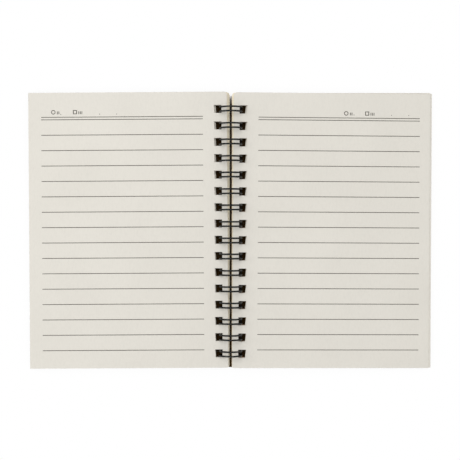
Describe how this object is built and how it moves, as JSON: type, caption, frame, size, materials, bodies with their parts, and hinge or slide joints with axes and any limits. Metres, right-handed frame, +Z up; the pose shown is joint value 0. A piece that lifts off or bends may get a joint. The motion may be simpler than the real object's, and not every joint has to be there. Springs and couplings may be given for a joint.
{
  "type": "open twin-loop notebook",
  "caption": "Wire-bound notebook lying open, with ruled cream sheets on two sides, a black double-loop wire through square holes and plain board covers.",
  "frame": {"origin": "on the table, under the axis of the rings, at the middle of the notebook's height", "axes": "+X to the right across the open pages, +Y up the page towards its head, +Z up from the table"},
  "size_m": [0.2103, 0.144, 0.0125],
  "materials": {
    "wire": "gloss black coating on steel wire",
    "sheets": "uncoated cream paper",
    "cover_board": "plain brown board",
    "ink": "flat grey printing ink on paper"
  },
  "bodies": {
    "root": {"back_cover": "cover_board", "right_page_block": "sheets", "right_ruling": "ink", "twin_loop_wire": "wire"},
    "left_pages": {"left_page_block": "sheets", "left_ruling": "ink"},
    "front_cover": {"front_cover": "cover_board"}
  },
  "joints": [
    {"name": "left_pages_turn", "type": "hinge", "parent": "root", "child": "left_pages", "pos_m": [0, 0, 0.00625], "axis": [0, 1, 0], "range_deg": [0, 181.9]},
    {"name": "front_cover_turn", "type": "hinge", "parent": "root", "child": "front_cover", "pos_m": [0, 0, 0.00625], "axis": [0, 1, 0], "range_deg": [0, 181.9]}
  ],
  "couplings": [
    {"joint": "front_cover_turn", "follows": "left_pages_turn", "ratio": 1}
  ]
}
